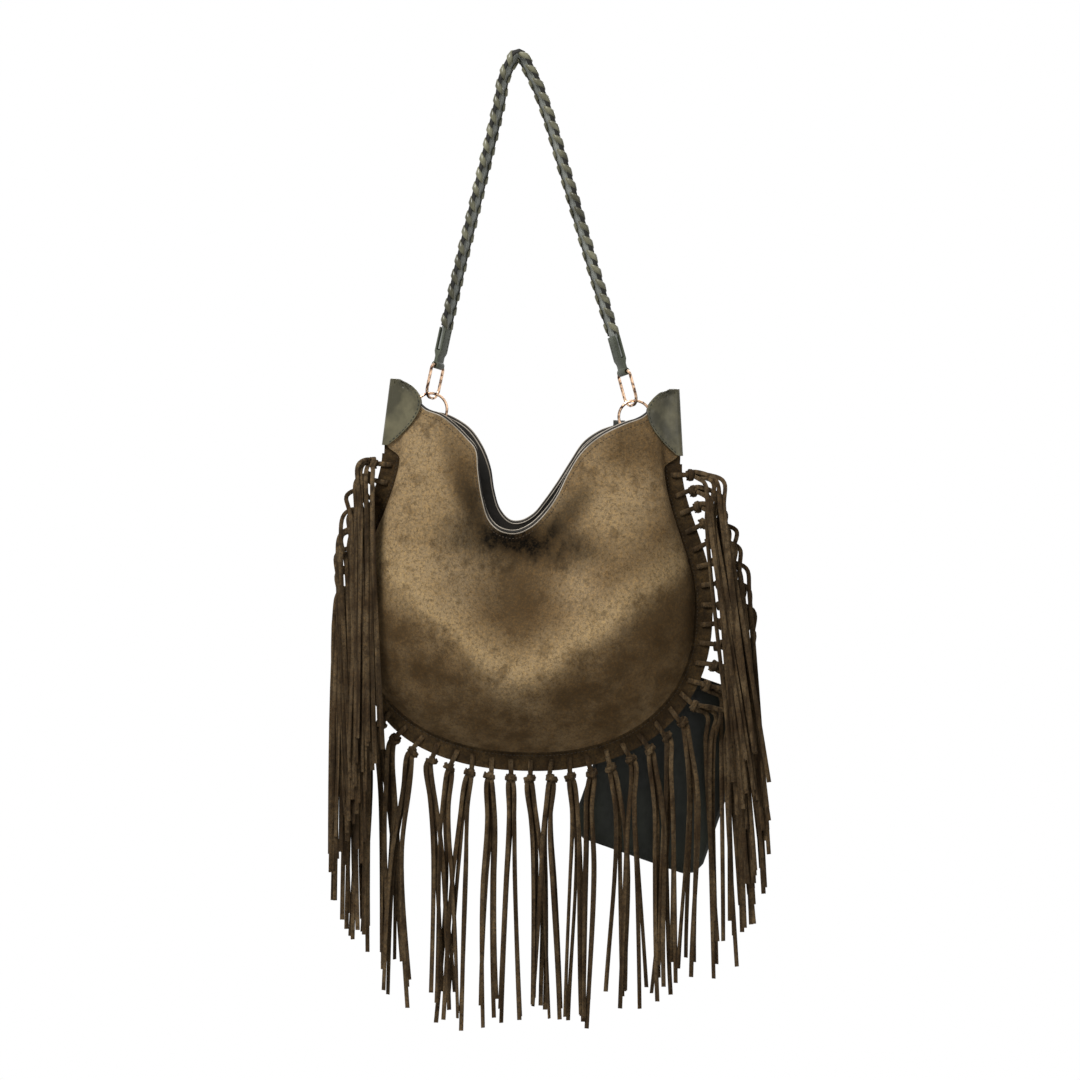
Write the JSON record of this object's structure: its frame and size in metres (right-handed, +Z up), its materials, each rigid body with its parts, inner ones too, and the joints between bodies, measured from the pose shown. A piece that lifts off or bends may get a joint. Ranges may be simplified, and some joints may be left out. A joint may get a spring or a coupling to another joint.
{
  "type": "fringed hobo shoulder bag",
  "caption": "Slouchy suede hobo bag with a looped and knotted fringe round its seam, a laced shoulder strap on linked metal rings and a flat zip pouch behind.",
  "frame": {"origin": "under the top of the shoulder strap's middle line, where a hook or shoulder carries it", "axes": "+Z up, +X to the wearer's right side as seen in the picture, +Y away from the viewer; the bag's front faces -Y"},
  "size_m": [0.4746, 0.087, 0.981],
  "materials": {
    "olive_suede": "napped suede",
    "dark_suede": "napped suede, cut thongs",
    "green_leather": "smooth, slightly glossy",
    "laced_leather": "smooth, flat lace over a flat strap",
    "black_leather": "smooth, semi-matte",
    "cotton_lining": "plain weave, matte",
    "rose_gold_metal": "polished, pale rose plating",
    "dark_metal": "oxidised zip teeth on dark tape"
  },
  "bodies": {
    "handle": {"handle_strap": "laced_leather", "end_tab_left": "green_leather", "end_tab_right": "green_leather"},
    "oval_left": {"oval_ring_left": "rose_gold_metal"},
    "oval_right": {"oval_ring_right": "rose_gold_metal"},
    "ring_left": {"round_ring_left": "rose_gold_metal"},
    "ring_right": {"round_ring_right": "rose_gold_metal"},
    "bag": {"front_panel": "olive_suede", "back_panel": "olive_suede", "lining_front": "cotton_lining", "lining_back": "cotton_lining", "facing_front": "green_leather", "facing_back": "green_leather", "fringe_band": "dark_suede", "corner_patch_left": "green_leather", "corner_patch_right": "green_leather", "ring_loop_left": "green_leather", "ring_loop_right": "green_leather", "snap_front": "rose_gold_metal", "snap_back": "rose_gold_metal", "leash_anchor": "black_leather"},
    "pouch": {"pouch_body": "black_leather", "pouch_leash": "black_leather", "pouch_zip": "dark_metal"},
    "slider": {"zip_slider": "rose_gold_metal"}
  },
  "joints": [
    {"name": "oval_left_swing", "type": "hinge", "parent": "handle", "child": "oval_left", "pos_m": [-0.0692, 0, -0.3115], "axis": [-0.4317, -0.8988, 0.0758], "range_deg": [-6, 6]},
    {"name": "oval_right_swing", "type": "hinge", "parent": "handle", "child": "oval_right", "pos_m": [0.1163, 0, -0.3115], "axis": [0.4181, -0.8988, 0.1314], "range_deg": [-6, 6]},
    {"name": "ring_left_swing", "type": "hinge", "parent": "handle", "child": "ring_left", "pos_m": [-0.0747, 0, -0.3395], "axis": [1, 0, 0], "range_deg": [-75, 75]},
    {"name": "ring_right_swing", "type": "hinge", "parent": "handle", "child": "ring_right", "pos_m": [0.1293, 0, -0.3395], "axis": [1, 0, 0], "range_deg": [-76, 76]},
    {"name": "bag_swing", "type": "hinge", "parent": "ring_left", "child": "bag", "pos_m": [-0.0747, 0, -0.3715], "axis": [1, 0, 0], "range_deg": [-20, 20]},
    {"name": "pouch_swing", "type": "hinge", "parent": "bag", "child": "pouch", "pos_m": [0.1143, 0.0176, -0.3631], "axis": [1, 0, 0], "range_deg": [0, 50]},
    {"name": "zip_slide", "type": "slide", "parent": "pouch", "child": "slider", "axis": [0.9553, 0, -0.2957], "range_m": [0, 0.099]}
  ],
  "couplings": [
    {"joint": "ring_right_swing", "follows": "ring_left_swing", "ratio": 1}
  ]
}
